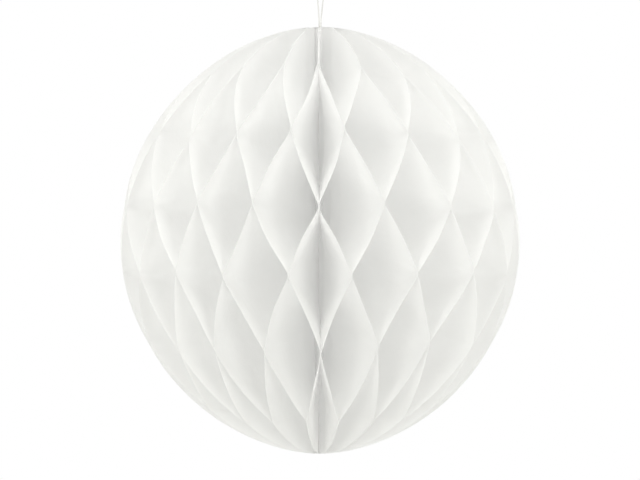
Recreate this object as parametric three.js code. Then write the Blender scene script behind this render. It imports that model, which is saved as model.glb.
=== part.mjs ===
// Honeycomb paper ball. Tissue half-discs stand round a spine cord and are glued to their neighbours along
// level lines, staggered from one pair to the next, so that they open into rows of diamond cells. Two cover
// cards, taped face to face, close the ball at the back, and a thread loop carries it at the top pole.
// Millimetres, +Z up. The origin is where a hook bears in the loop, and the ball hangs below it.
import * as THREE from 'three';

// The ball's outline
const BALL_HEIGHT = 300;
const BALL_WIDTH = 280;
const OUTLINE_POWER = 0.55; // 0.5 gives an ellipse, and more than that draws the poles out to points
const TIP_WIDTH = 1.2; // blunt corner of a sheet at each pole

// Tissue sheets and the glue lines that join them
const SHEET_COUNT = 40;
const SHEET_THICKNESS = 0.2;
const GLUE_FILM = 0.1;
const GLUE_LINE_PITCH = 47; // from one level to the next
const GLUE_BAND_HEIGHT = 6;
const POLE_MARGIN = 20; // no glue line lies nearer to a pole than this
const PANEL_STEPS = 3; // straight stretches of the outline between two glue lines
const POLE_STEPS = 5; // and between the last glue line and a pole

// Cover cards and the tape between them, on the seam
const CARD_THICKNESS = 0.4;
const CARD_SETBACK = 1; // how far a card's rim stays inside the tissue
const TAPE_THICKNESS = 0.2;
const TAPE_WIDTH = 12;
const TAPE_LENGTH = 50;
const TAPE_RADIUS = 70; // from the axis to the middle of a strip
const TAPE_HEIGHT = 45; // from the equator to the middle of a strip

// Spine cord, knot and hanging loop
const SEAT_GAP = 0.2; // between the spine cord and what stands on it
const SPINE_SIDES = 12;
const KNOT_DIAMETER = 2.4;
const KNOT_SIDES = 12;
const KNOT_RINGS = 8;
const KNOT_GAP = 0.3; // left free below and above the knot
const THREAD_DIAMETER = 0.9;
const THREAD_SIDES = 8;
const LOOP_STEPS = 48;

// Middle of the thread, sideways and up from the point where a hook bears. It runs from the knot up the left
// strand, over the top and down the right strand.
const LOOP_POINTS = [
  [-0.6, -53], [-0.7, -49], [-1.0, -44], [-1.5, -38], [-2.1, -32], [-2.8, -26], [-3.4, -20], [-3.9, -14.5],
  [-4.2, -9.5], [-4.0, -5.2], [-2.8, -1.5], [0, THREAD_DIAMETER / 2], [2.9, -1.5], [4.3, -5.2], [4.6, -9.5],
  [4.4, -14.5], [4.0, -20], [3.5, -26], [2.8, -32], [2.0, -38], [1.3, -44], [0.8, -49], [0.6, -53],
];
const LOOP_DROP = -LOOP_POINTS[0][1]; // from the bearing point down to the cut ends in the knot

const SHEET_STEP = (2 * Math.PI) / SHEET_COUNT; // angle that one sheet has to itself
const LEAF = SHEET_THICKNESS + GLUE_FILM;
const SPINE_RADIUS = LEAF / SHEET_STEP; // the sheets' straight edges stand side by side round this
const SHEET_INNER = SPINE_RADIUS + SEAT_GAP;
const SEAM_HALF = TAPE_THICKNESS / 2 + GLUE_FILM + CARD_THICKNESS; // half of the cards and tape together
const SEAM_SHIFT = SEAM_HALF + GLUE_FILM / 2; // how far the cards push the nearest sheets aside
const CARD_INNER = (SEAM_SHIFT + LEAF) / SHEET_STEP + SEAT_GAP; // where the cards find room between those
const HALF_HEIGHT = BALL_HEIGHT / 2;
const LINES_A_SIDE = Math.floor((HALF_HEIGHT - POLE_MARGIN) / GLUE_LINE_PITCH + 0.5);

const TISSUE = { color: 0xf2f2ee, roughness: 0.9, metalness: 0 };
const CARD = { color: 0xf0f0ec, roughness: 0.75, metalness: 0 };
const TAPE = { color: 0xe9e6da, roughness: 0.4, metalness: 0 };
const THREAD = { color: 0xf4f4f1, roughness: 0.85, metalness: 0 };

function addPiece(group, name, geometry, look) {
  const mesh = new THREE.Mesh(geometry, new THREE.MeshStandardMaterial(look));
  mesh.name = name;
  group.add(mesh);
  return mesh;
}

// Distance from the axis to the ball's outline at a height above its middle.
function outlineRadius(height) {
  const share = height / HALF_HEIGHT;
  return (BALL_WIDTH / 2) * Math.max(1 - share * share, 0) ** OUTLINE_POWER;
}

// The height above the middle at which the outline has a given radius.
function outlineHeight(radius) {
  return HALF_HEIGHT * Math.sqrt(1 - (radius / (BALL_WIDTH / 2)) ** (1 / OUTLINE_POWER));
}

// Glue lines are numbered from the equator: 0 is the first above it, and -1 the first below it.
function glueLineHeight(line) {
  return (line + 0.5) * GLUE_LINE_PITCH;
}

// The levels at which a sheet is bent or its rim turns, from the bottom pole up. Each has its height, the
// glue line at or below it, and how far it lies from there to the next line.
function sheetLevels() {
  const tip = outlineHeight(SHEET_INNER + TIP_WIDTH);
  const top = LINES_A_SIDE - 1;
  const lastBand = glueLineHeight(top) + GLUE_BAND_HEIGHT / 2;
  const pole = [];
  for (let step = POLE_STEPS; step > 0; step--) {
    pole.push(lastBand + (tip - lastBand) * Math.sin((step / POLE_STEPS) * (Math.PI / 2)));
  }
  const levels = pole.map((height) => ({ height: -height, line: -LINES_A_SIDE, share: 0 }));
  for (let line = -LINES_A_SIDE; line <= top; line++) {
    const middle = glueLineHeight(line);
    levels.push({ height: middle - GLUE_BAND_HEIGHT / 2, line, share: 0 });
    levels.push({ height: middle + GLUE_BAND_HEIGHT / 2, line, share: 0 });
    for (let step = 1; step < PANEL_STEPS && line < top; step++) {
      const share = step / PANEL_STEPS;
      const height = middle + GLUE_BAND_HEIGHT / 2 + share * (GLUE_LINE_PITCH - GLUE_BAND_HEIGHT);
      levels.push({ height, line, share });
    }
  }
  pole.reverse();
  levels.push(...pole.map((height) => ({ height, line: top, share: 0 })));
  return levels;
}

// A thin closed solid between two faces. Rows run up and columns run outwards, and pointAt(row, column, face)
// gives the corners of the back, face 0, and of the front, face 1, which lies counter-clockwise from it.
function closedSheet(rowCount, columnCount, pointAt) {
  const positions = [];
  for (let face = 0; face < 2; face++) {
    for (let row = 0; row < rowCount; row++) {
      for (let column = 0; column < columnCount; column++) {
        positions.push(...pointAt(row, column, face).toArray());
      }
    }
  }
  const back = (row, column) => row * columnCount + column;
  const front = (row, column) => (rowCount + row) * columnCount + column;
  const index = [];
  const quad = (a, b, c, d) => index.push(a, b, c, a, c, d);
  const top = rowCount - 1;
  const rim = columnCount - 1;
  for (let row = 0; row < top; row++) {
    const up = row + 1;
    for (let column = 0; column < rim; column++) {
      const out = column + 1;
      quad(front(row, column), front(up, column), front(up, out), front(row, out));
      quad(back(row, column), back(row, out), back(up, out), back(up, column));
    }
    quad(back(row, rim), front(row, rim), front(up, rim), back(up, rim));
    quad(back(row, 0), back(up, 0), front(up, 0), front(row, 0));
  }
  for (let column = 0; column < rim; column++) {
    const out = column + 1;
    quad(back(top, column), back(top, out), front(top, out), front(top, column));
    quad(back(0, column), front(0, column), front(0, out), back(0, out));
  }
  const geometry = new THREE.BufferGeometry();
  geometry.setAttribute('position', new THREE.Float32BufferAttribute(positions, 3));
  geometry.setIndex(index);
  geometry.computeVertexNormals();
  return geometry;
}

// A point at a radius along the direction of an angle from the seam, set aside counter-clockwise.
function besideRay(angle, radius, aside, height) {
  const x = radius * Math.cos(angle) - aside * Math.sin(angle);
  const y = radius * Math.sin(angle) + aside * Math.cos(angle);
  return new THREE.Vector3(x, y, height);
}

// How far the cover cards push the sheet beside them away from the seam, at a radius from the axis.
function seamShift(radius) {
  return SEAM_SHIFT * THREE.MathUtils.clamp((radius - SHEET_INNER) / (CARD_INNER - SHEET_INNER), 0, 1);
}

// One tissue sheet. It swings between the glue plane before it and the one after it, and level rulings join
// its rim to the spine. Even lines join even sheets to the next one, and odd lines join odd sheets. The first
// and last sheets bend round the inner edges of the cover cards.
function tissueSheet(number) {
  const levels = sheetLevels();
  const isFirst = number === 1;
  const isLast = number === SHEET_COUNT;
  const meetsNext = (line) => ((number + line) % 2 === 0 ? 1 : 0);
  const pointAt = (row, column, face) => {
    const { height, line, share } = levels[row];
    const swing = THREE.MathUtils.lerp(meetsNext(line), meetsNext(line + 1), share);
    const rim = outlineRadius(height);
    const stops = [SHEET_INNER, rim];
    if (isFirst || isLast) {
      stops.splice(1, 0, Math.min(CARD_INNER, (SHEET_INNER + rim) / 2));
    }
    const radius = stops[column];
    const shift = seamShift(radius);
    const fromLast = (LEAF / 2 + (isFirst ? shift : 0)) * (1 - swing);
    const fromNext = (LEAF / 2 + (isLast ? shift : 0)) * swing;
    const aside = fromLast - fromNext + (face - 0.5) * SHEET_THICKNESS;
    return besideRay((number - 1 + swing) * SHEET_STEP, radius, aside, height);
  };
  return closedSheet(levels.length, isFirst || isLast ? 3 : 2, pointAt);
}

// One flat cover card, counter-clockwise from the seam for side 1 and clockwise for side -1. Its corners are
// cut off at the last level where the sheets leave room for it.
function coverCard(side) {
  const inner = CARD_INNER + SEAT_GAP;
  const rimAt = (height) => outlineRadius(height) - CARD_SETBACK;
  const heights = sheetLevels().map((level) => level.height);
  const rows = heights.filter((height) => rimAt(height) > inner + TIP_WIDTH);
  const nearFace = TAPE_THICKNESS / 2 + GLUE_FILM;
  const pointAt = (row, column, face) => {
    const radius = column === 0 ? inner : rimAt(rows[row]);
    const outward = side > 0 ? face : 1 - face;
    return besideRay(0, radius, side * (nearFace + outward * CARD_THICKNESS), rows[row]);
  };
  return closedSheet(rows.length, 2, pointAt);
}

function spineCord(halfLength) {
  const profile = [
    new THREE.Vector2(0, -halfLength),
    new THREE.Vector2(SPINE_RADIUS, -halfLength),
    new THREE.Vector2(SPINE_RADIUS, halfLength),
    new THREE.Vector2(0, halfLength),
  ];
  return new THREE.LatheGeometry(profile, SPINE_SIDES).rotateX(Math.PI / 2);
}

function hangingLoop() {
  const route = new THREE.CatmullRomCurve3(LOOP_POINTS.map(([x, z]) => new THREE.Vector3(x, 0, z)));
  const section = new THREE.Shape();
  section.absarc(0, 0, THREAD_DIAMETER / 2, 0, 2 * Math.PI, false);
  return new THREE.ExtrudeGeometry(section, {
    steps: LOOP_STEPS,
    extrudePath: route,
    curveSegments: THREAD_SIDES / 2, // an arc is drawn with twice as many sides
    bevelEnabled: false,
  });
}

const part = new THREE.Group();
const poleHeight = outlineHeight(SHEET_INNER + TIP_WIDTH);
const knotMiddle = -LOOP_DROP - KNOT_GAP - KNOT_DIAMETER / 2;
const poleTop = knotMiddle - KNOT_DIAMETER / 2 - KNOT_GAP;

// The ball hangs with its seam to the back.
const ball = new THREE.Group();
ball.position.z = poleTop - poleHeight;
ball.rotation.z = Math.PI / 2;
part.add(ball);
for (let number = 1; number <= SHEET_COUNT; number++) {
  addPiece(ball, `tissue_sheet_${String(number).padStart(2, '0')}`, tissueSheet(number), TISSUE);
}
addPiece(ball, 'cover_card_left', coverCard(1), CARD);
addPiece(ball, 'cover_card_right', coverCard(-1), CARD);
for (const [name, side] of [['closing_tape_upper', 1], ['closing_tape_lower', -1]]) {
  const strip = addPiece(ball, name, new THREE.BoxGeometry(TAPE_WIDTH, TAPE_THICKNESS, TAPE_LENGTH), TAPE);
  strip.position.set(TAPE_RADIUS, 0, side * TAPE_HEIGHT);
}
addPiece(ball, 'spine_cord', spineCord(poleHeight), THREAD);

const knotShape = new THREE.SphereGeometry(KNOT_DIAMETER / 2, KNOT_SIDES, KNOT_RINGS);
addPiece(part, 'loop_knot', knotShape, THREAD).position.z = knotMiddle;
addPiece(part, 'hanging_loop', hangingLoop(), THREAD);

export default part;
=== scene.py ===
"""Looks of a white honeycomb paper ball: tissue half-discs, glued into diamond cells, on a thread loop."""

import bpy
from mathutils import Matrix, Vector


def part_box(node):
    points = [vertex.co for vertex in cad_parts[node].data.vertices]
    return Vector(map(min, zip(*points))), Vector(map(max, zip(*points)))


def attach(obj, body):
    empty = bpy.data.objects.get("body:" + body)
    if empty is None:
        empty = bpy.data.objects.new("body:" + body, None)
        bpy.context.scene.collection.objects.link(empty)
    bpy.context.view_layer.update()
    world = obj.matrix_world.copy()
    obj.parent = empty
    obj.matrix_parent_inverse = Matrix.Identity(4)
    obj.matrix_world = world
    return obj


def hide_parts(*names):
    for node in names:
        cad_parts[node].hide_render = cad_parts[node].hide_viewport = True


bl_info = {
    "name": "Honeycomb paper ball",
    "version": (1, 0, 0),
    "blender": (4, 5, 0),
    "location": "View3D > Sidebar > Honeycomb",
    "description": "Builds the tissue sheets, cover cards, spine and thread of a honeycomb paper ball",
    "category": "Object",
}

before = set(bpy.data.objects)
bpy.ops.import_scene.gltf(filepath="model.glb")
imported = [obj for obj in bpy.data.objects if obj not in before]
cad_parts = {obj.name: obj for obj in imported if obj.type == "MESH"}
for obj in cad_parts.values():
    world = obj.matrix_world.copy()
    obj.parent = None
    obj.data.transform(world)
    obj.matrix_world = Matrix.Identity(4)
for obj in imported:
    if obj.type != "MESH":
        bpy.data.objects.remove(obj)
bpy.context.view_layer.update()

import math

import bpy
import numpy as np
from bpy.props import FloatProperty, FloatVectorProperty, IntProperty, PointerProperty

BODY = "root"

# What the solids give: the sheets, the poles, the spine, the knot and the tapes.
SHEET_NODES = sorted(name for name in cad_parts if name.startswith("tissue_sheet_"))
SHEET_COUNT = len(SHEET_NODES)
SHEET_STEP = 2 * math.pi / SHEET_COUNT
POLE_LOW, POLE_HIGH = (corner.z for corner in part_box(SHEET_NODES[0]))
BALL_MIDDLE = (POLE_LOW + POLE_HIGH) / 2
SPINE_LOW, SPINE_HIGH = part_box("spine_cord")
KNOT_LOW, KNOT_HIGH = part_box("loop_knot")
TAPE_NODES = ("closing_tape_upper", "closing_tape_lower")
SEAM_ANGLE = math.pi / 2  # the seam of the cover cards is at the back, +Y

# How the sheets are meshed and scattered.
COLUMN_POWER = 1.4  # above 1, the mesh columns lie closer together near the axis
SHARP_ANGLE = math.radians(50)  # edges that turn by more are shaded sharp
LINE_SEED = 11
SHEET_SEED = 7

# Shallow waves in the panels: how far three sines turn from the axis to the rim, in radians, and how far the
# first one's phase moves on from panel to panel and the last one's up a panel.
WAVES = (9, 5, 14)
PANEL_PHASE = 0.9
HEIGHT_PHASE = 4

# The folds beside the spine: their mean share of their full size, and how far that goes up and down.
FOLD_MEAN = 0.85
FOLD_SWING = 0.3

# Threads: a lay is the length in which the plies turn once, and a hollow is the depth of the grooves
# between the plies as a share of the radius.
THREAD_DIAMETER = 0.0009
THREAD_PLIES = 3
THREAD_LAY = 0.0022
THREAD_HOLLOW = 0.22
THREAD_SIDES = 15
LOOP_STEPS = 24
SPINE_LAY = 0.011
SPINE_STEPS = 320
SPINE_TIP = 0.1  # the first and last rings' share of the spine's radius
KNOT_STRAND = 0.0005
KNOT_HOLLOW = 0.2
KNOT_TURNS = 9
KNOT_STEPS = 240
KNOT_REACH = 3  # from the trefoil's middle up and down, in its formula's units
KNOT_DEPTH = 1.1  # and to the front and back

# Middle of the hanging loop's thread, sideways and up from the point where a hook bears.
LOOP_POINTS = [
    (-0.0005, -0.0542), (-0.0006, -0.053), (-0.0007, -0.049), (-0.0010, -0.044), (-0.0015, -0.038),
    (-0.0021, -0.032), (-0.0028, -0.026), (-0.0034, -0.020), (-0.0039, -0.0145), (-0.0042, -0.0095),
    (-0.0040, -0.0052), (-0.0028, -0.0015), (0.0, THREAD_DIAMETER / 2), (0.0029, -0.0015),
    (0.0043, -0.0052), (0.0046, -0.0095), (0.0044, -0.0145), (0.0040, -0.020), (0.0035, -0.026),
    (0.0028, -0.032), (0.0020, -0.038), (0.0013, -0.044), (0.0008, -0.049), (0.0006, -0.053),
    (0.0005, -0.0542),
]

# The photo's frame, and the cells' corners in it, in pixels. Each glue line, numbered from the equator up,
# has the column of its first corner, counted in cells from the ball's middle, and then one corner a cell.
PHOTO_WIDTH = 640
PHOTO_HEIGHT = 480
PHOTO_BALL_HEIGHT = 425
PHOTO_CORNERS = {
    2: (-1, [(285, 62), (318, 61.5), (361, 67), (404, 75)]),
    1: (-2.5, [(190, 138), (237, 133), (291, 128), (344.5, 127), (408, 133), (459, 140)]),
    0: (-3, [(154, 206), (197.5, 202), (252.5, 203), (318.5, 207), (385, 203), (451, 207), (494, 211)]),
    -1: (-3.5, [(143, 275), (178, 272), (223, 277), (288, 275.5), (352, 276), (418, 274), (474, 271.5),
                (509, 275)]),
    -2: (-3, [(182, 354), (215, 351), (264.5, 352.5), (321, 355), (378, 347.5), (429.5, 343), (474, 347)]),
    -3: (-2.5, [(250, 423), (272.5, 422), (306, 420), (339, 421), (374, 420), (402, 420)]),
}
LINES_EACH_WAY = max(PHOTO_CORNERS) + 1  # glue lines above the equator, and as many below it
MOST_SHIFT = 0.3  # how far a seen corner may leave its even place: a share of a sheet's step
MOST_RISE = 0.012  # and a height
HALVINGS = 40

# Light goes to and fro between the thin sheets hundreds of times. Its first reflections are followed, with
# all the passes through paper between them, and what is left then counts as even light in the cells, a
# share of the room's. Nothing hides that light within its reach, which is shorter than a sheet is thick.
LIGHT_BOUNCES = 80
FOLLOWED_REFLECTIONS = 8
CELL_LIGHT = 0.82
CELL_LIGHT_REACH = 0.00005
BRIGHT_TILT = math.radians(35)  # from straight up to the back: the light ceiling and backdrop
BRIGHT_SIDE = (0.0, math.sin(BRIGHT_TILT), math.cos(BRIGHT_TILT))
SOFTBOX_SIZE = 0.7
SOFTBOXES = {  # place from the ball's middle, and share of the power
    "softbox_left": ((-0.75, -1.35, -0.18), 1.0),
    "softbox_right": ((0.75, -1.35, -0.18), 1.0),
    "softbox_left_side": ((-1.5, 0.1, -0.35), 0.35),
    "softbox_right_side": ((1.5, 0.1, -0.35), 0.35),
    "softbox_top": ((0, -0.5, 1.8), 0.7),
}
FLOOR_SIDES = 96
FLOOR_FADE = (0.3, 0.95)  # shares of the floor's radius between which it turns white

# Sizes of the materials' patterns as drawn, in metres.
PULP_CLOUD = 0.006
FIBRE_WIDTH = 0.0005
FIBRE_LENGTH = 0.006
COCKLE_WIDTH = 0.012
CARD_PATCH = 0.009
CARD_GRAIN = 0.0005
CARD_EDGE = 0.0002  # width of the grey edge where it is narrowest
CARD_WEAR = 0.0008  # and what wear can add to it
TAPE_RIDGE = 0.0012
COTTON_SLUB = 0.008
COTTON_FIBRE = 0.00015

# Shares in the materials' patterns.
FIBRE_SHARE = 0.4  # of the fibres in the pulp, beside its clouds
RIM_CORE = 0.4  # of the rim band, the part at the cut that is fluffed right through
SOAKED_BANDS = 1.6  # half the height to which glue soaks the paper, in glue bands
SLUB_SHARE = 0.5  # of the slubs in a thread's flecks, beside its fibres
NOISE_RANGE = {"From Min": 0.3, "From Max": 0.7}  # where nearly all values of a noise texture lie
WAVE_TURN = 20  # radians by which a wave texture of scale 1 turns in a metre

COTTON = "white_cotton_thread"
SHEET_MAP = "sheet"  # UV map of a sheet laid flat: distance from the axis, and height, in metres
RIM_DISTANCE = "rim_distance"  # how far a point lies inside a sheet's cut rim, in metres
ALONG_THREAD = "along_thread"  # how far along its thread a point lies, in metres


def linear(hex_colour):
    """An sRGB hex colour as linear red, green and blue."""
    parts = [int(hex_colour[i:i + 2], 16) / 255 for i in (1, 3, 5)]
    return tuple(c / 12.92 if c <= 0.04045 else ((c + 0.055) / 1.055) ** 2.4 for c in parts)


class BallSizes(bpy.types.PropertyGroup):
    """Sizes of the ball's paper."""

    height: FloatProperty(name="Height", description="From pole to pole", default=0.300, unit="LENGTH")
    width: FloatProperty(name="Width", description="Across the equator", default=0.280, unit="LENGTH")
    outline_power: FloatProperty(name="Outline power", default=0.55,
        description="0.5 gives an ellipse, and more draws the poles out to points")
    glue_pitch: FloatProperty(name="Glue line pitch", default=0.047, unit="LENGTH",
        description="Height from one glue line to the next")
    glue_band: FloatProperty(name="Glue band", default=0.0015, unit="LENGTH",
        description="Height of a glue line")
    crease: FloatProperty(name="Crease", default=0.02, subtype="FACTOR",
        description="Share of a panel that bends out of a glue band, at the rim")
    inner_crease: FloatProperty(name="Inner crease", default=0.3, subtype="FACTOR",
        description="Share of a panel that bends out of a glue band, at the axis")
    crease_power: FloatProperty(name="Crease power", default=8.0,
        description="How close to the rim the creases are tight: more is closer")
    rim_band: FloatProperty(name="Rim band", default=0.009, unit="LENGTH",
        description="Width of the fluffed band along a cut rim")
    thickness: FloatProperty(name="Thickness", default=0.0002, unit="LENGTH",
        description="Thickness of a tissue sheet")
    glue_film: FloatProperty(name="Glue film", default=0.0001, unit="LENGTH",
        description="Gap between two glued sheets")
    seat_gap: FloatProperty(name="Seat gap", default=0.0002, unit="LENGTH",
        description="Between the spine and what stands on it")
    tip: FloatProperty(name="Tip", default=0.0012, unit="LENGTH",
        description="Blunt corner of a sheet at a pole")
    card_thickness: FloatProperty(name="Card thickness", default=0.0004, unit="LENGTH",
        description="Thickness of a cover card")
    card_rows: IntProperty(name="Card rows", default=120,
        description="Mesh rows of a card from pole to pole")
    card_setback: FloatProperty(name="Card setback", default=0.001, unit="LENGTH",
        description="How far a card's rim stays inside the tissue")
    tape_thickness: FloatProperty(name="Tape thickness", default=0.0002, unit="LENGTH",
        description="Thickness of the tape between the cards")
    cockle: FloatProperty(name="Cockle", default=0.03, subtype="FACTOR",
        description="How far a panel waves, as a share of its room")
    bow: FloatProperty(name="Bow", default=0.07, subtype="FACTOR",
        description="How far a panel's rim bows between glue lines, as a share of a sheet's step")
    slack: FloatProperty(name="Slack", default=1.6,
        description="How far the lowest panels keep to their upper glue lines: more is further")
    fold: FloatProperty(name="Fold", default=-0.0035, unit="LENGTH",
        description="How far the crowded sheets fold over beside the spine")
    fold_length: FloatProperty(name="Fold length", default=0.028, unit="LENGTH",
        description="Distance from the spine in which they fold there and back")
    fold_reach: FloatProperty(name="Fold reach", default=0.02, unit="LENGTH",
        description="Distance from the spine in which the folds die away")
    fold_wave: FloatProperty(name="Fold wave", default=0.115, unit="LENGTH",
        description="Height in which the folds grow and shrink")
    line_scatter: FloatProperty(name="Line scatter", default=0.0012, unit="LENGTH",
        description="How far a glue line lies off its level")
    plane_scatter: FloatProperty(name="Plane scatter", default=0.06, subtype="FACTOR",
        description="How far a glue line lies off its plane, as a share of a sheet's step")
    panel_rows: IntProperty(name="Panel rows", description="Mesh rows between two glue lines", default=20)
    pole_rows: IntProperty(name="Pole rows", default=20,
        description="Mesh rows from the last glue line to a pole")
    columns: IntProperty(name="Columns", description="Mesh columns from the axis to the rim", default=26)


class BallColours(bpy.types.PropertyGroup):
    """Colours of the ball's paper and thread."""

    tissue: FloatVectorProperty(name="Tissue", subtype="COLOR", default=linear("#FFFFFF"),
        description="White tissue paper")
    card: FloatVectorProperty(name="Card", subtype="COLOR", default=linear("#F1F1EC"),
        description="White cover card")
    board: FloatVectorProperty(name="Board", subtype="COLOR", default=linear("#D8D6CE"),
        description="Grey pulp in a card's cut edge")
    tape: FloatVectorProperty(name="Tape", subtype="COLOR", default=linear("#E9E6DA"),
        description="Double-sided paper tape")
    thread: FloatVectorProperty(name="Thread", subtype="COLOR", default=linear("#F4F4F1"),
        description="White cotton thread")


class StageSettings(bpy.types.PropertyGroup):
    """Camera, floor and light."""

    distance: FloatProperty(name="Distance", default=1.19, unit="LENGTH",
        description="From the camera to the ball's middle")
    elevation: FloatProperty(name="Elevation", default=math.radians(-1.5), subtype="ANGLE",
        description="How far the camera stands above the ball's middle")
    floor_drop: FloatProperty(name="Floor drop", default=0.4, unit="LENGTH",
        description="From the ball's lower pole to the floor")
    floor_radius: FloatProperty(name="Floor radius", default=1.0, unit="LENGTH",
        description="Radius of the floor")
    light_high: FloatProperty(name="Bright side", default=1.31,
        description="Strength of the studio's light from its bright side")
    light_low: FloatProperty(name="Dim side", default=0.0,
        description="Strength of the studio's light from its dim side")
    softbox_power: FloatProperty(name="Softboxes", default=5.7, unit="POWER",
        description="Power of a softbox at the front")
    studio: FloatVectorProperty(name="Studio light", subtype="COLOR", default=linear("#FFFFFB"),
        description="Colour of the studio's light")
    floor: FloatVectorProperty(name="Floor", subtype="COLOR", default=linear("#C6C6C4"),
        description="Pale floor")


def add_node(tree, kind, inputs=None, **settings):
    """Adds a shader node with its settings, and sets or links its inputs. A node as an input is linked by
    its first output."""
    node = tree.nodes.new("ShaderNode" + kind)
    for name, value in settings.items():
        setattr(node, name, value)
    for name, value in (inputs or {}).items():
        if isinstance(value, bpy.types.Node):
            value = value.outputs[0]
        if isinstance(value, bpy.types.NodeSocket):
            tree.links.new(value, node.inputs[name])
        else:
            node.inputs[name].default_value = value
    return node


def new_material(name):
    """An empty node material, its node tree, and its points' places in metres."""
    material = bpy.data.materials.new(name)
    material.use_nodes = True
    tree = material.node_tree
    tree.nodes.clear()
    return material, tree, add_node(tree, "TexCoord").outputs["Object"]


def tissue_material(sizes, colours):
    """White tissue paper, couched wet off a wire and dried: the eye sees cloudy white that glows with the
    light behind it, a faint net of fibres, soft cockles, and cut rims that catch the light."""
    material, tree, place = new_material("white_tissue_paper")
    flat = add_node(tree, "UVMap", uv_map=SHEET_MAP).outputs["UV"]
    # Clouds of thicker and thinner pulp, and fibres, which are 0.02 mm wide and 2 mm long and are drawn 25
    # times as wide and three times as long to show at all.
    clouds = add_node(tree, "TexNoise", {"Vector": place, "Scale": 1 / PULP_CLOUD, "Detail": 2.0})
    stretched = add_node(tree, "VectorMath", {
        0: flat, 1: (1 / FIBRE_WIDTH, 1 / FIBRE_LENGTH, 1.0)}, operation="MULTIPLY")
    fibres = add_node(tree, "TexNoise", {
        "Vector": stretched, "Scale": 1.0, "Detail": 1.0}, noise_dimensions="2D")
    pulp = add_node(tree, "Math", {0: fibres, 1: FIBRE_SHARE, 2: clouds}, operation="MULTIPLY_ADD")
    pulp_range = {"Value": pulp, "From Min": 0.45, "From Max": 0.95}
    shade = add_node(tree, "MapRange", {**pulp_range, "To Min": 1.0, "To Max": 0.9965})
    tint = add_node(tree, "VectorMath", {0: tuple(colours.tissue), "Scale": shade}, operation="SCALE")
    # Thick pulp lets less light through, and so does the fluffed band along a rim, most of all at the cut.
    glow = add_node(tree, "MapRange", {**pulp_range, "To Min": 0.74, "To Max": 0.64})
    rim = add_node(tree, "Attribute", attribute_name=RIM_DISTANCE)
    rim_glow = add_node(tree, "MapRange", {
        "Value": rim.outputs["Fac"], "From Min": RIM_CORE * sizes.rim_band, "From Max": sizes.rim_band,
        "To Min": 0.40, "To Max": 1.0}, interpolation_type="SMOOTHSTEP")
    glow = add_node(tree, "Math", {0: glow, 1: rim_glow}, operation="MULTIPLY")
    # Glue soaks the paper along each glue line and makes it clearer there.
    height = add_node(tree, "SeparateXYZ", {"Vector": flat}).outputs["Y"]
    lines = add_node(tree, "Math", {0: height, 1: 1 / sizes.glue_pitch}, operation="MULTIPLY")
    lines = add_node(tree, "Math", {0: lines}, operation="FRACT")
    lines = add_node(tree, "Math", {0: lines, 1: 0.5}, operation="SUBTRACT")
    lines = add_node(tree, "Math", {0: lines}, operation="ABSOLUTE")
    glue = add_node(tree, "MapRange", {
        "Value": lines, "From Min": sizes.glue_band / sizes.glue_pitch / 2,
        "From Max": SOAKED_BANDS * sizes.glue_band / sizes.glue_pitch, "To Min": 0.1, "To Max": 0.0},
        interpolation_type="SMOOTHSTEP")
    glow = add_node(tree, "Math", {0: glow, 1: glue}, operation="ADD", use_clamp=True)
    # Cockles of the damp sheet, about a tenth of a millimetre high, and the pulp, which stands a hundredth
    # of a millimetre proud and is drawn about ten times as high to show.
    cockles = add_node(tree, "TexNoise", {"Vector": place, "Scale": 1 / COCKLE_WIDTH, "Detail": 1.0})
    bump = add_node(tree, "Bump", {"Height": cockles, "Strength": 0.6, "Distance": 0.0006})
    bump = add_node(tree, "Bump", {"Height": pulp, "Strength": 0.5, "Distance": 0.0003, "Normal": bump})
    rough = add_node(tree, "MapRange", {**pulp_range, "To Min": 0.82, "To Max": 0.96})
    front = add_node(tree, "BsdfPrincipled", {
        "Base Color": tint, "Roughness": rough, "Specular IOR Level": 0.15, "Normal": bump})
    through = add_node(tree, "BsdfTranslucent", {"Color": tint, "Normal": bump})
    sheet = add_node(tree, "MixShader", {"Fac": glow, 1: front, 2: through})
    add_node(tree, "OutputMaterial", {"Surface": sheet})
    return material


def card_material(colours):
    """White card, pressed from pulp and calendered: a smooth face with a soft sheen that is dull in
    patches, and greyer pulp in the cut edge."""
    material, tree, place = new_material("white_calendered_card")
    # Patches of the press, and pulp grain, 0.1 mm in a real card and drawn five times as coarse to show.
    patches = add_node(tree, "TexNoise", {"Vector": place, "Scale": 1 / CARD_PATCH, "Detail": 3.0})
    grain = add_node(tree, "TexNoise", {"Vector": place, "Scale": 1 / CARD_GRAIN, "Detail": 2.0})
    rim = add_node(tree, "Attribute", attribute_name=RIM_DISTANCE)
    worn = add_node(tree, "Math", {0: grain, 1: CARD_WEAR, 2: CARD_EDGE}, operation="MULTIPLY_ADD")
    edge = add_node(tree, "Math", {0: rim.outputs["Fac"], 1: worn}, operation="LESS_THAN")
    patch_range = {"Value": patches, **NOISE_RANGE}
    faces = add_node(tree, "MapRange", {**patch_range, "To Min": 0.96, "To Max": 1.0})
    white = add_node(tree, "VectorMath", {0: tuple(colours.card), "Scale": faces}, operation="SCALE")
    colour = add_node(tree, "Mix", {
        "Factor": edge, "A": white, "B": (*colours.board, 1.0)}, data_type="RGBA")
    dull = add_node(tree, "MapRange", {**patch_range, "To Min": 0.42, "To Max": 0.6})
    bump = add_node(tree, "Bump", {"Height": grain, "Strength": 0.15, "Distance": 0.0001})
    shader = add_node(tree, "BsdfPrincipled", {
        "Base Color": colour.outputs["Result"], "Roughness": dull, "Normal": bump})
    add_node(tree, "OutputMaterial", {"Surface": shader})
    return material


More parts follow.
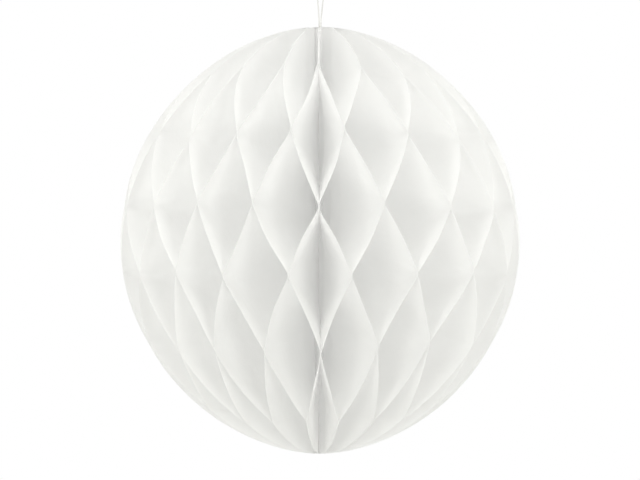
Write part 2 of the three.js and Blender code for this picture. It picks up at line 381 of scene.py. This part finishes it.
def tape_material(colours):
    """Double-sided paper tape, creped and coated with clear adhesive: yellowish white, with fine cross
    ridges and a wet shine."""
    material, tree, place = new_material("double_sided_paper_tape")
    # Crepe ridges across the tape. The colour is darker in the hollows between the ridges: painted shade.
    ridges = add_node(tree, "TexWave", {
        "Vector": place, "Scale": 2 * math.pi / WAVE_TURN / TAPE_RIDGE, "Distortion": 2.0, "Detail": 2.0,
        "Detail Scale": 1.5}, bands_direction="Z")
    shade = add_node(tree, "MapRange", {"Value": ridges.outputs["Fac"], "To Min": 0.93, "To Max": 1.0})
    tint = add_node(tree, "VectorMath", {0: tuple(colours.tape), "Scale": shade}, operation="SCALE")
    shine = add_node(tree, "MapRange", {"Value": ridges.outputs["Fac"], "To Min": 0.25, "To Max": 0.45})
    bump = add_node(tree, "Bump", {"Height": ridges.outputs["Fac"], "Strength": 0.4, "Distance": 0.0001})
    shader = add_node(tree, "BsdfPrincipled", {
        "Base Color": tint, "Roughness": shine, "IOR": 1.47, "Normal": bump})
    add_node(tree, "OutputMaterial", {"Surface": shader})
    return material


def cotton_material(colours):
    """White cotton, spun and plied: matt and soft, with slubs along it, hollows a little darker than the
    plies, and a thin bloom of loose fibres."""
    material, tree, place = new_material(COTTON)
    along = add_node(tree, "Attribute", attribute_name=ALONG_THREAD)
    # Slubs, and fibres, which are 0.015 mm wide in real cotton and are drawn ten times as wide to show.
    slubs = add_node(tree, "TexNoise", {
        "W": along.outputs["Fac"], "Scale": 1 / COTTON_SLUB, "Detail": 1.0}, noise_dimensions="1D")
    fibres = add_node(tree, "TexNoise", {"Vector": place, "Scale": 1 / COTTON_FIBRE, "Detail": 2.0})
    fleck = add_node(tree, "Math", {0: slubs, 1: SLUB_SHARE, 2: fibres}, operation="MULTIPLY_ADD")
    shade = add_node(tree, "MapRange", {
        "Value": fleck, "From Min": 0.5, "From Max": 1.0, "To Min": 0.9, "To Max": 1.0})
    tint = add_node(tree, "VectorMath", {0: tuple(colours.thread), "Scale": shade}, operation="SCALE")
    rough = add_node(tree, "MapRange", {"Value": fibres, **NOISE_RANGE, "To Min": 0.8, "To Max": 0.95})
    bump = add_node(tree, "Bump", {"Height": fibres, "Strength": 0.4, "Distance": 0.00005})
    shader = add_node(tree, "BsdfPrincipled", {
        "Base Color": tint, "Roughness": rough, "Specular IOR Level": 0.2, "Sheen Weight": 0.25,
        "Sheen Roughness": 0.5, "Normal": bump})
    add_node(tree, "OutputMaterial", {"Surface": shader})
    return material


def rim_radius(sizes, height):
    """From the axis to the outline: half the width times (1 - (height / half the height)^2)^power."""
    share = np.clip(np.abs(height) / (sizes.height / 2), 0, 1)
    return sizes.width / 2 * (1 - share ** 2) ** sizes.outline_power


def rim_height(sizes, radius):
    """The height above the ball's middle at which the outline has that radius."""
    return sizes.height / 2 * math.sqrt(1 - (radius / (sizes.width / 2)) ** (1 / sizes.outline_power))


def sheet_inner(sizes):
    """From the axis to a sheet's straight edge: the spine's radius and the gap to it."""
    return (SPINE_HIGH.x - SPINE_LOW.x) / 2 + sizes.seat_gap


def leaf(sizes):
    """Thickness of a sheet and its glue."""
    return sizes.thickness + sizes.glue_film


def seam_half(sizes):
    """Half the thickness of the two cards and the tape between them."""
    return sizes.tape_thickness / 2 + sizes.glue_film + sizes.card_thickness


def card_inner(sizes):
    """From the axis to where the two cards find room between the first and the last sheet."""
    return (seam_half(sizes) + sizes.glue_film / 2 + leaf(sizes)) / SHEET_STEP + sizes.seat_gap


def seam_shift(sizes, radius):
    """How far the cards push the sheets beside them, which grows from the straight edge to the cards."""
    inner = sheet_inner(sizes)
    full = seam_half(sizes) + sizes.glue_film / 2
    return full * np.clip((radius - inner) / (card_inner(sizes) - inner), 0, 1)


def shell_faces(rows, columns):
    """Quads of a closed thin shell: a back and a front grid of rows x columns points, and the four rims."""
    grid = np.arange(rows * columns).reshape(rows, columns)
    back, front = grid, grid + rows * columns
    strips = [
        (front[:-1, :-1], front[1:, :-1], front[1:, 1:], front[:-1, 1:]),
        (back[:-1, :-1], back[:-1, 1:], back[1:, 1:], back[1:, :-1]),
        (back[:-1, -1], front[:-1, -1], front[1:, -1], back[1:, -1]),
        (back[:-1, 0], back[1:, 0], front[1:, 0], front[:-1, 0]),
        (back[-1, :-1], back[-1, 1:], front[-1, 1:], front[-1, :-1]),
        (back[0, :-1], front[0, :-1], front[0, 1:], back[0, 1:]),
    ]
    return np.concatenate([np.stack([corner.ravel() for corner in strip], axis=1) for strip in strips])


def new_piece(name, points, quads, material, triangles=None, uv=None, attributes=None):
    """A mesh object at the origin from whole arrays of points and faces. uv gives each point's place on the
    flat sheet, and attributes other numbers for each point."""
    mesh = bpy.data.meshes.new(name)
    triangles = np.zeros((0, 3), int) if triangles is None else triangles
    corners = np.concatenate([quads.ravel(), triangles.ravel()]).astype(np.int32)
    totals = np.concatenate([np.full(len(quads), 4), np.full(len(triangles), 3)])
    starts = np.concatenate([[0], np.cumsum(totals)[:-1]]).astype(np.int32)
    mesh.vertices.add(len(points))
    mesh.vertices.foreach_set("co", points.astype(np.float32).ravel())
    mesh.loops.add(len(corners))
    mesh.loops.foreach_set("vertex_index", corners)
    mesh.polygons.add(len(totals))
    mesh.polygons.foreach_set("loop_start", starts)
    mesh.polygons.foreach_set("use_smooth", np.ones(len(totals), bool))
    if uv is not None:
        layer = mesh.uv_layers.new(name=SHEET_MAP)
        layer.data.foreach_set("uv", uv[corners].astype(np.float32).ravel())
    for attribute, values in (attributes or {}).items():
        layer = mesh.attributes.new(attribute, "FLOAT", "POINT")
        layer.data.foreach_set("value", values.astype(np.float32))
    mesh.materials.append(material)
    mesh.update(calc_edges=True)
    mesh.validate()
    mesh.set_sharp_from_angle(angle=SHARP_ANGLE)
    piece = bpy.data.objects.new(name, mesh)
    bpy.context.scene.collection.objects.link(piece)
    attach(piece, BODY)
    return piece


def new_shell(name, sides, radius, level, inside, material):
    """A thin shell between the grids of points on its two sides. Each point lies at a radius and level on
    the flat sheet, and some way inside its rim."""
    points = np.concatenate([side.reshape(-1, 3) for side in sides])
    flat = np.stack(np.broadcast_arrays(radius, level), axis=-1).reshape(-1, 2)
    return new_piece(name, points, shell_faces(*inside.shape), material,
                     uv=np.tile(flat, (2, 1)), attributes={RIM_DISTANCE: np.tile(inside.ravel(), 2)})


def beside_ray(angle, radius, aside, height):
    """Points at a radius along a direction counted from the seam, set aside counter-clockwise from it."""
    turned = angle + SEAM_ANGLE
    x = radius * np.cos(turned) - aside * np.sin(turned)
    y = radius * np.sin(turned) + aside * np.cos(turned)
    return np.stack(np.broadcast_arrays(x, y, height + BALL_MIDDLE), axis=-1)


def camera_axes(stage):
    """The camera's place in front of the ball's middle, and its right, up and forward directions."""
    sine, cosine = math.sin(stage.elevation), math.cos(stage.elevation)
    forward = np.array([0.0, cosine, -sine])
    place = np.array([0.0, 0.0, BALL_MIDDLE]) - stage.distance * forward
    return place, np.array([1.0, 0.0, 0.0]), np.array([0.0, sine, cosine]), forward


def focal_pixels(sizes, stage):
    """Focal length in pixels: the ball's height in the photo over its real height, times the distance."""
    return PHOTO_BALL_HEIGHT / sizes.height * stage.distance


def corner_on_ball(sizes, stage, pixels):
    """Angle from the front and height of the points of the ball's outline behind some pixels. Halving finds
    where each pixel's ray enters the outline, between the camera and its nearest point to the axis."""
    place, right, up, forward = camera_axes(stage)
    focal = focal_pixels(sizes, stage)
    across = (pixels[:, :1] - PHOTO_WIDTH / 2) / focal
    above = (PHOTO_HEIGHT / 2 - pixels[:, 1:]) / focal
    ray = forward + across * right + above * up
    outside = np.zeros(len(ray))
    inside = -(ray[:, :2] @ place[:2]) / (ray[:, :2] ** 2).sum(axis=1)
    for _ in range(HALVINGS):
        middle = (outside + inside) / 2
        point = place + middle[:, None] * ray
        is_in = np.hypot(point[:, 0], point[:, 1]) < rim_radius(sizes, point[:, 2] - BALL_MIDDLE)
        inside = np.where(is_in, middle, inside)
        outside = np.where(is_in, outside, middle)
    point = place + inside[:, None] * ray
    return np.arctan2(point[:, 0], -point[:, 1]), point[:, 2] - BALL_MIDDLE


def glue_line_places(sizes, stage):
    """Angle and height of every glue line at the rim, by line from the lowest and by plane from the seam.
    They lie scattered about even steps, and those that the photo shows lie where it shows them."""
    lines = LINES_EACH_WAY
    front = SHEET_COUNT // 2
    rng = np.random.default_rng(LINE_SEED)
    planes = np.arange(SHEET_COUNT + 1)
    number = np.arange(-lines, lines)
    angle = (planes + sizes.plane_scatter * rng.uniform(-1, 1, (2 * lines, SHEET_COUNT + 1))) * SHEET_STEP
    scatter = sizes.line_scatter * rng.uniform(-1, 1, angle.shape)
    height = (number[:, None] + 0.5) * sizes.glue_pitch + scatter
    angle[:, [0, -1]] = planes[[0, -1]] * SHEET_STEP
    height[:, -1] = height[:, 0]
    for line, (first, corners) in PHOTO_CORNERS.items():
        seen_angle, seen_height = corner_on_ball(sizes, stage, np.array(corners, float))
        plane = front + np.rint(2 * (first + np.arange(len(corners)))).astype(int)
        # The photo shows the outer lines' edges towards the equator.
        end = 0 if abs(line + 0.5) < lines - 1 else math.copysign(sizes.glue_band / 2, line + 0.5)
        even_angle = (plane - front) * SHEET_STEP
        even_height = (line + 0.5) * sizes.glue_pitch
        shift = np.clip(seen_angle - even_angle, -MOST_SHIFT * SHEET_STEP, MOST_SHIFT * SHEET_STEP)
        rise = np.clip(seen_height + end - even_height, -MOST_RISE, MOST_RISE)
        angle[line + lines, plane] = plane * SHEET_STEP + shift
        height[line + lines, plane] = even_height + rise
    return angle, height


def creased(share, band, crease):
    """How far a panel has swung over: still in a glue band, then a straight slope with bent ends."""
    x = np.clip((share - band) / (1 - 2 * band), 0, 1)
    slope = 1 / (1 - crease)
    bend_in = slope * x ** 2 / (2 * crease)
    bend_out = 1 - slope * (1 - x) ** 2 / (2 * crease)
    return np.where(x < crease, bend_in, np.where(x > 1 - crease, bend_out, slope * (x - crease / 2)))


def sheet_rows(sizes):
    """Levels of a sheet's mesh from pole to pole, closer together near glue lines and poles: the glue line
    below, from -1 under the lowest, and the share of the way to the next one or to the pole."""
    lines = LINES_EACH_WAY
    step = np.arange(sizes.panel_rows) / sizes.panel_rows
    panel = (1 - np.cos(math.pi * step)) / 2
    pole = np.sin(np.linspace(0, math.pi / 2, sizes.pole_rows + 1))
    line = np.concatenate([
        np.full(sizes.pole_rows, -1), np.repeat(np.arange(2 * lines - 1), sizes.panel_rows),
        np.full(sizes.pole_rows + 1, 2 * lines - 1)])
    share = np.concatenate([1 - pole[:0:-1], np.tile(panel, 2 * lines - 1), pole])
    return line, share


def row_levels(line, share, heights, tip):
    """Heights of the rows: a share of the way between two glue lines, or from an outer one to its pole."""
    last = len(heights) - 1
    bottom = np.where(line < 0, -tip, heights[np.clip(line, 0, None)])
    top = np.where(line == last, tip, heights[np.clip(line + 1, None, last)])
    return (bottom + (top - bottom) * share)[:, None]


def panel_turns(sizes, line, share, level, lowest, columns):
    """How far each point of a sheet has swung from the glue line below it to the one above. The bends are
    loose at the axis and tight at the rim. The lowest panels hang slack: what is left of their swing is
    multiplied by (the outline's radius at the lowest line / that at the point's level)^slack."""
    crease = sizes.inner_crease + (sizes.crease - sizes.inner_crease) * columns ** sizes.crease_power
    turn = creased(share[:, None], sizes.glue_band / sizes.glue_pitch / 2, crease)
    narrowed = (rim_radius(sizes, lowest) / rim_radius(sizes, level)) ** sizes.slack
    return np.where(line[:, None] == 0, 1 - (1 - turn) * narrowed, turn)


def spine_fold(sizes, angle, radius, height):
    """The angle by which the sheets are pushed aside where they crowd together beside the spine. They fold
    over in a wave that dies away outwards, sin(2 pi d / length) e^(-d / reach) with d the distance from
    their straight edges, over the radius. It grows and shrinks in a slower wave up the spine, and goes from
    0 at the seam, where the cards are stiff, to its full size at the front, (1 - cos angle) / 2."""
    distance = radius - sheet_inner(sizes)
    wave = np.sin(2 * math.pi * distance / sizes.fold_length) * np.exp(-distance / sizes.fold_reach)
    size = sizes.fold * (FOLD_MEAN + FOLD_SWING * np.sin(2 * math.pi * height / sizes.fold_wave))
    return size * wave / radius * (1 - np.cos(angle)) / 2


def make_sheets(sizes, stage, material):
    """All tissue sheets. Each swings between the glue plane before it and the one after it, on rulings from
    the axis to the rim, straight but for shallow waves, a bow at the rim and the folds at the spine."""
    lines = LINES_EACH_WAY
    inner = sheet_inner(sizes)
    tip = rim_height(sizes, inner + sizes.tip)
    line, share = sheet_rows(sizes)
    low = np.clip(line, 0, None)
    high = np.clip(line + 1, None, 2 * lines - 1)
    columns = np.linspace(0, 1, sizes.columns) ** COLUMN_POWER
    even_height = (np.arange(-lines, lines) + 0.5) * sizes.glue_pitch
    level = row_levels(line, share, even_height, tip)
    turn = panel_turns(sizes, line, share, level, even_height[0], columns)
    is_panel = (line >= 0) & (line < 2 * lines - 1)
    free = (is_panel * np.sin(math.pi * share) ** 2)[:, None]
    line_angle, line_height = glue_line_places(sizes, stage)
    rng = np.random.default_rng(SHEET_SEED)
    for number, node in enumerate(SHEET_NODES, start=1):
        meets_next = (number + np.arange(-lines, lines)) % 2 == 0
        plane = np.where(meets_next, number, number - 1)
        own_angle = line_angle[np.arange(2 * lines), plane]
        own_height = line_height[np.arange(2 * lines), plane]
        swing = meets_next[low][:, None] + (1.0 * meets_next[high] - meets_next[low])[:, None] * turn
        angle = own_angle[low][:, None] + (own_angle[high] - own_angle[low])[:, None] * turn
        rim_level = row_levels(line, share, own_height, tip)
        rim = rim_radius(sizes, rim_level)
        radius = inner + (rim - inner) * columns
        height = level + (rim_level - level) * columns
        phase = rng.uniform(0, 2 * math.pi, len(WAVES))
        bows = rng.uniform(-1, 1, 2 * lines + 1)[line + 1]
        waves = (np.sin(WAVES[0] * columns + phase[0] + PANEL_PHASE * line[:, None])
                 + np.sin(WAVES[1] * columns - phase[1])
                 + np.sin(WAVES[2] * columns + HEIGHT_PHASE * share[:, None] + phase[2])) / len(WAVES)
        sway = sizes.cockle * waves + sizes.bow * bows[:, None] * columns ** 2
        shift = seam_shift(sizes, radius)
        from_last = (leaf(sizes) / 2 + shift * (number == 1)) * (1 - swing)
        from_next = (leaf(sizes) / 2 + shift * (number == SHEET_COUNT)) * swing
        aside = from_last - from_next + sway * free * radius * SHEET_STEP
        angle = angle + spine_fold(sizes, angle, radius, height)
        back = beside_ray(angle, radius, aside - sizes.thickness / 2, height)
        front = beside_ray(angle, radius, aside + sizes.thickness / 2, height)
        name = "tissue_" + node.rsplit("_", 1)[1]
        piece = new_shell(name, (back, front), radius, level, rim - radius, material)
        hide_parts(node)


def make_card(name, node, sizes, side, material):
    """A cover card: a flat half-disc beside the seam, its rim a little inside the tissue's."""
    inner = card_inner(sizes) + sizes.seat_gap
    tip = rim_height(sizes, inner + sizes.tip + sizes.card_setback)
    height = tip * np.sin(np.linspace(-math.pi / 2, math.pi / 2, sizes.card_rows))[:, None]
    rim = rim_radius(sizes, height) - sizes.card_setback
    radius = inner + (rim - inner) * np.linspace(0, 1, sizes.columns)
    near = sizes.tape_thickness / 2 + sizes.glue_film
    asides = sorted((side * near, side * (near + sizes.card_thickness)))
    sides = [beside_ray(0.0, radius, aside, height) for aside in asides]
    inside = np.minimum(rim - radius, radius - inner)
    card = new_shell(name, sides, radius, height, inside, material)
    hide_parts(node)


def smooth_route(points, steps):
    """A curve through the points: Catmull-Rom, with steps parts between two of them."""
    p = np.asarray(points, float)
    p = np.concatenate([[2 * p[0] - p[1]], p, [2 * p[-1] - p[-2]]])
    t = (np.arange(steps) / steps)[:, None, None]
    a, b, c, d = p[:-3], p[1:-2], p[2:-1], p[3:]
    curve = (2 * b + (c - a) * t + (2 * a - 5 * b + 4 * c - d) * t ** 2
             + (3 * b - a - 3 * c + d) * t ** 3) / 2
    return np.concatenate([curve.transpose(1, 0, 2).reshape(-1, p.shape[1]), p[-2:-1]])


def thread_rings(route, along, across, turned, diameter, hollow):
    """Points of a twisted thread: at each point of the route a ring square to the way along it, which has
    turned by its own angle. A ring has one lobe for each ply. Its radius is half the diameter times
    (1 - hollow + hollow |cos(plies (turn - turned) / 2)|)."""
    along = along / np.linalg.norm(along, axis=1, keepdims=True)
    across = across - (across * along).sum(axis=1, keepdims=True) * along
    across = across / np.linalg.norm(across, axis=1, keepdims=True)
    upright = np.cross(along, across)
    turn = np.arange(THREAD_SIDES) / THREAD_SIDES * 2 * math.pi
    lobe = np.abs(np.cos((turn - turned[:, None]) * THREAD_PLIES / 2))
    reach = np.broadcast_to(diameter, turned.shape)[:, None] / 2 * (1 - hollow + hollow * lobe)
    side = np.cos(turn)[:, None] * across[:, None] + np.sin(turn)[:, None] * upright[:, None]
    return (route[:, None] + reach[..., None] * side).reshape(-1, 3)


def thread_faces(steps):
    """Quads between the rings of a thread, the last of them back to its first ring, and triangles of its
    two ends, whose middles come after the rings."""
    ring = np.arange(THREAD_SIDES)
    after = (ring + 1) % THREAD_SIDES
    start = np.arange(steps)[:, None] * THREAD_SIDES
    beyond = np.roll(start, -1)
    quads = np.stack([start + ring, start + after, beyond + after, beyond + ring], axis=-1)
    last = (steps - 1) * THREAD_SIDES
    middle = np.full(THREAD_SIDES, steps * THREAD_SIDES)
    first_end = np.stack([middle, after, ring], axis=1)
    last_end = np.stack([middle + 1, last + ring, last + after], axis=1)
    return quads.reshape(-1, 4), np.concatenate([first_end, last_end])


def new_thread(name, route, across, diameter, lay, material):
    """A piece of thread along an open route, twisted once in each lay, with one diameter or one a ring."""
    length = np.concatenate([[0], np.cumsum(np.linalg.norm(np.diff(route, axis=0), axis=1))])
    along = np.gradient(route, axis=0)
    rings = thread_rings(route, along, across, 2 * math.pi * length / lay, diameter, THREAD_HOLLOW)
    points = np.concatenate([rings, route[[0, -1]]])
    distance = np.append(np.repeat(length, THREAD_SIDES), length[[0, -1]])
    quads, ends = thread_faces(len(route))
    return new_piece(name, points, quads[:-THREAD_SIDES], material, triangles=ends,
                     attributes={ALONG_THREAD: distance})


def knot_route():
    """A trefoil facing the front: across by sin t + 2 sin 2t, up by cos t - 2 cos 2t, and from back to
    front by sin 3t. Its last point lies a step before its first one."""
    t = np.linspace(0, 2 * math.pi, KNOT_STEPS, endpoint=False)
    middle = np.array(KNOT_LOW + KNOT_HIGH) / 2
    size = ((KNOT_HIGH.z - KNOT_LOW.z) - KNOT_STRAND) / (2 * KNOT_REACH)
    across = np.sin(t) + 2 * np.sin(2 * t)
    up = np.cos(t) - 2 * np.cos(2 * t)
    return middle + size * np.stack([across, KNOT_DEPTH * np.sin(3 * t), up], axis=1)


def make_knot(material):
    """The loop's knot: one strand round a trefoil."""
    route = knot_route()
    along = np.roll(route, -1, axis=0) - np.roll(route, 1, axis=0)
    across = np.cross(along, [0.0, 1.0, 0.0])
    turned = 2 * math.pi * KNOT_TURNS * np.arange(KNOT_STEPS) / KNOT_STEPS
    points = thread_rings(route, along, across, turned, KNOT_STRAND, KNOT_HOLLOW)
    length = np.linalg.norm(np.diff(route, axis=0), axis=1).mean() * np.arange(KNOT_STEPS)
    knot = new_piece("thread_knot", points, thread_faces(KNOT_STEPS)[0], material,
                     attributes={ALONG_THREAD: np.repeat(length, THREAD_SIDES)})
    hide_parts("loop_knot")


def make_loop(material):
    """The hanging loop: a taut thread, out of the knot, round the hook and back."""
    flat = smooth_route(LOOP_POINTS, LOOP_STEPS)
    route = np.stack([flat[:, 0], np.zeros(len(flat)), flat[:, 1]], axis=1)
    across = np.tile([0.0, 1.0, 0.0], (len(route), 1))
    loop = new_thread("thread_loop", route, across, THREAD_DIAMETER, THREAD_LAY, material)
    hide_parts("hanging_loop")


def make_spine(material):
    """The cord on the axis: plies laid round each other, with rounded ends."""
    half = (SPINE_HIGH.z - SPINE_LOW.z) / 2
    height = half * np.sin(np.linspace(-math.pi / 2, math.pi / 2, SPINE_STEPS))
    diameter = SPINE_HIGH.x - SPINE_LOW.x
    from_end = np.clip((half - np.abs(height)) / (diameter / 2), 0, 1)
    round_off = np.sqrt(np.clip(1 - (1 - from_end) ** 2, SPINE_TIP ** 2, 1))
    zero = np.zeros(SPINE_STEPS)
    route = np.stack([zero, zero, height + (SPINE_HIGH.z + SPINE_LOW.z) / 2], axis=1)
    across = np.tile([1.0, 0.0, 0.0], (SPINE_STEPS, 1))
    spine = new_thread("spine", route, across, diameter * round_off, SPINE_LAY, material)
    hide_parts("spine_cord")


def seen_rays(tree):
    """1 for rays that see the background, by camera, gloss or glass, and 0 for light on matt surfaces."""
    rays = add_node(tree, "LightPath").outputs
    seen = add_node(tree, "Math", {0: rays["Is Camera Ray"], 1: rays["Is Glossy Ray"]}, operation="ADD")
    seen = add_node(tree, "Math", {0: seen, 1: rays["Is Transmission Ray"]}, operation="ADD")
    return add_node(tree, "Math", {
        0: seen, 1: rays["Is Diffuse Ray"]}, operation="SUBTRACT", use_clamp=True)


def make_camera(sizes, stage):
    """The camera at the photo's viewing angle, aimed at the ball's middle."""
    scene = bpy.context.scene
    place, _, _, _ = camera_axes(stage)
    camera = bpy.data.objects.new("camera", bpy.data.cameras.new("camera"))
    camera.data.lens = camera.data.sensor_width * focal_pixels(sizes, stage) / PHOTO_WIDTH
    camera.location = place
    camera.rotation_euler = (math.pi / 2 - stage.elevation, 0, 0)
    scene.collection.objects.link(camera)
    scene.camera = camera


def make_studio(stage):
    """A white world, whose light on things fades from top and back to bottom and front, and softboxes."""
    scene = bpy.context.scene
    world = bpy.data.worlds.new("white_studio")
    scene.world = world
    world.use_nodes = True
    world.cycles.sampling_method = "NONE"
    world.light_settings.ao_factor = CELL_LIGHT
    world.light_settings.distance = CELL_LIGHT_REACH
    tree = world.node_tree
    tree.nodes.clear()
    way = add_node(tree, "TexCoord").outputs["Generated"]
    bright = add_node(tree, "VectorMath", {0: way, 1: BRIGHT_SIDE}, operation="DOT_PRODUCT")
    strength = add_node(tree, "MapRange", {
        "Value": bright.outputs["Value"], "From Min": -1.0, "From Max": 1.0, "To Min": stage.light_low,
        "To Max": stage.light_high})
    light = add_node(tree, "Background", {"Color": (*stage.studio, 1.0), "Strength": strength})
    white = add_node(tree, "Background", {"Color": (1, 1, 1, 1), "Strength": 1.0})
    both = add_node(tree, "MixShader", {"Fac": seen_rays(tree), 1: light, 2: white})
    add_node(tree, "OutputWorld", {"Surface": both})
    for name, (place, share) in SOFTBOXES.items():
        lamp = bpy.data.lights.new(name, "AREA")
        lamp.shape = "DISK"
        lamp.size = SOFTBOX_SIZE
        lamp.energy = share * stage.softbox_power
        lamp.color = stage.studio
        box = bpy.data.objects.new(name, lamp)
        x, y, z = place
        box.location = (x, y, z + BALL_MIDDLE)
        box.rotation_euler = (math.atan2(math.hypot(x, y), z), 0, math.atan2(y, x) + math.pi / 2)
        scene.collection.objects.link(box)


def make_floor(stage):
    """A pale round floor under the ball that keeps its shadow and fades into the white background at its
    edge."""
    turn = np.linspace(0, 2 * math.pi, FLOOR_SIDES, endpoint=False)
    level = POLE_LOW - stage.floor_drop
    ring = np.stack([np.cos(turn), np.sin(turn), np.zeros(FLOOR_SIDES)], axis=1) * stage.floor_radius
    mesh = bpy.data.meshes.new("floor")
    mesh.from_pydata((ring + [0, 0, level]).tolist(), [], [list(range(FLOOR_SIDES))])
    material, tree, place = new_material("matt_white_floor")
    flat = add_node(tree, "VectorMath", {0: place, 1: (1.0, 1.0, 0.0)}, operation="MULTIPLY")
    reach = add_node(tree, "VectorMath", {0: flat}, operation="LENGTH")
    fade_start, fade_end = FLOOR_FADE
    fade = add_node(tree, "MapRange", {
        "Value": reach.outputs["Value"], "From Min": fade_start * stage.floor_radius,
        "From Max": fade_end * stage.floor_radius}, interpolation_type="SMOOTHSTEP")
    share = add_node(tree, "Math", {0: fade, 1: seen_rays(tree)}, operation="MULTIPLY")
    matt = add_node(tree, "BsdfPrincipled", {
        "Base Color": (*stage.floor, 1.0), "Roughness": 0.9, "Specular IOR Level": 0.1})
    white = add_node(tree, "Emission", {"Color": (1, 1, 1, 1), "Strength": 1.0})
    both = add_node(tree, "MixShader", {"Fac": share, 1: matt, 2: white})
    add_node(tree, "OutputMaterial", {"Surface": both})
    mesh.materials.append(material)
    floor = bpy.data.objects.new("floor", mesh)
    bpy.context.scene.collection.objects.link(floor)


class HONEYCOMB_OT_stage(bpy.types.Operator):
    """Sets up the camera, floor, background and lights"""

    bl_idname = "honeycomb.stage"
    bl_label = "Stage"

    def execute(self, context):
        scene = context.scene
        scene.view_settings.view_transform = "Standard"
        scene.cycles.use_fast_gi = True
        scene.cycles.fast_gi_method = "REPLACE"
        scene.cycles.ao_bounces_render = FOLLOWED_REFLECTIONS
        for kind in ("max", "diffuse", "glossy", "transmission"):
            setattr(scene.cycles, kind + "_bounces", LIGHT_BOUNCES)
        make_camera(scene.honeycomb_sizes, scene.honeycomb_stage)
        make_studio(scene.honeycomb_stage)
        make_floor(scene.honeycomb_stage)
        return {"FINISHED"}


class HONEYCOMB_OT_knot(bpy.types.Operator):
    """Builds the hanging loop's knot"""

    bl_idname = "honeycomb.knot"
    bl_label = "Knot"

    def execute(self, context):
        make_knot(cotton_material(context.scene.honeycomb_colours))
        return {"FINISHED"}


class HONEYCOMB_OT_loop(bpy.types.Operator):
    """Builds the hanging loop, after its knot"""

    bl_idname = "honeycomb.loop"
    bl_label = "Hanging loop"

    def execute(self, context):
        make_loop(bpy.data.materials[COTTON])
        return {"FINISHED"}


class HONEYCOMB_OT_sheets(bpy.types.Operator):
    """Builds the tissue sheets"""

    bl_idname = "honeycomb.sheets"
    bl_label = "Tissue sheets"

    def execute(self, context):
        scene = context.scene
        tissue = tissue_material(scene.honeycomb_sizes, scene.honeycomb_colours)
        make_sheets(scene.honeycomb_sizes, scene.honeycomb_stage, tissue)
        return {"FINISHED"}


class HONEYCOMB_OT_cards(bpy.types.Operator):
    """Builds the two cover cards"""

    bl_idname = "honeycomb.cards"
    bl_label = "Cover cards"

    def execute(self, context):
        scene = context.scene
        card = card_material(scene.honeycomb_colours)
        make_card("card_left", "cover_card_left", scene.honeycomb_sizes, 1, card)
        make_card("card_right", "cover_card_right", scene.honeycomb_sizes, -1, card)
        return {"FINISHED"}


class HONEYCOMB_OT_tapes(bpy.types.Operator):
    """Finishes the strips of tape between the cards"""

    bl_idname = "honeycomb.tapes"
    bl_label = "Closing tapes"

    def execute(self, context):
        tape = tape_material(context.scene.honeycomb_colours)
        for name in TAPE_NODES:
            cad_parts[name].data.materials.clear()
            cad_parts[name].data.materials.append(tape)
        return {"FINISHED"}


class HONEYCOMB_OT_spine(bpy.types.Operator):
    """Builds the cord on the axis, after the knot"""

    bl_idname = "honeycomb.spine"
    bl_label = "Spine"

    def execute(self, context):
        make_spine(bpy.data.materials[COTTON])
        return {"FINISHED"}


class HONEYCOMB_PT_panel(bpy.types.Panel):
    """Lists the steps that build the ball"""

    bl_idname = "HONEYCOMB_PT_panel"
    bl_label = "Honeycomb paper ball"
    bl_space_type = "VIEW_3D"
    bl_region_type = "UI"
    bl_category = "Honeycomb"

    def draw(self, context):
        for operator in OPERATORS:
            self.layout.operator(operator.bl_idname)


OPERATORS = (HONEYCOMB_OT_stage, HONEYCOMB_OT_knot, HONEYCOMB_OT_loop, HONEYCOMB_OT_sheets,
             HONEYCOMB_OT_cards, HONEYCOMB_OT_tapes, HONEYCOMB_OT_spine)
CLASSES = (BallSizes, BallColours, StageSettings, *OPERATORS, HONEYCOMB_PT_panel)


def register():
    """Registers the classes and gives each scene their settings."""
    for item in CLASSES:
        bpy.utils.register_class(item)
    bpy.types.Scene.honeycomb_sizes = PointerProperty(type=BallSizes)
    bpy.types.Scene.honeycomb_colours = PointerProperty(type=BallColours)
    bpy.types.Scene.honeycomb_stage = PointerProperty(type=StageSettings)


def unregister():
    """Takes back what register did."""
    del bpy.types.Scene.honeycomb_stage
    del bpy.types.Scene.honeycomb_colours
    del bpy.types.Scene.honeycomb_sizes
    for item in reversed(CLASSES):
        bpy.utils.unregister_class(item)


def main():
    """Builds the stage and all pieces in order."""
    register()
    bpy.ops.honeycomb.stage()
    bpy.ops.honeycomb.knot()
    bpy.ops.honeycomb.loop()
    bpy.ops.honeycomb.sheets()
    bpy.ops.honeycomb.cards()
    bpy.ops.honeycomb.tapes()
    bpy.ops.honeycomb.spine()


if __name__ == "__main__":
    main()
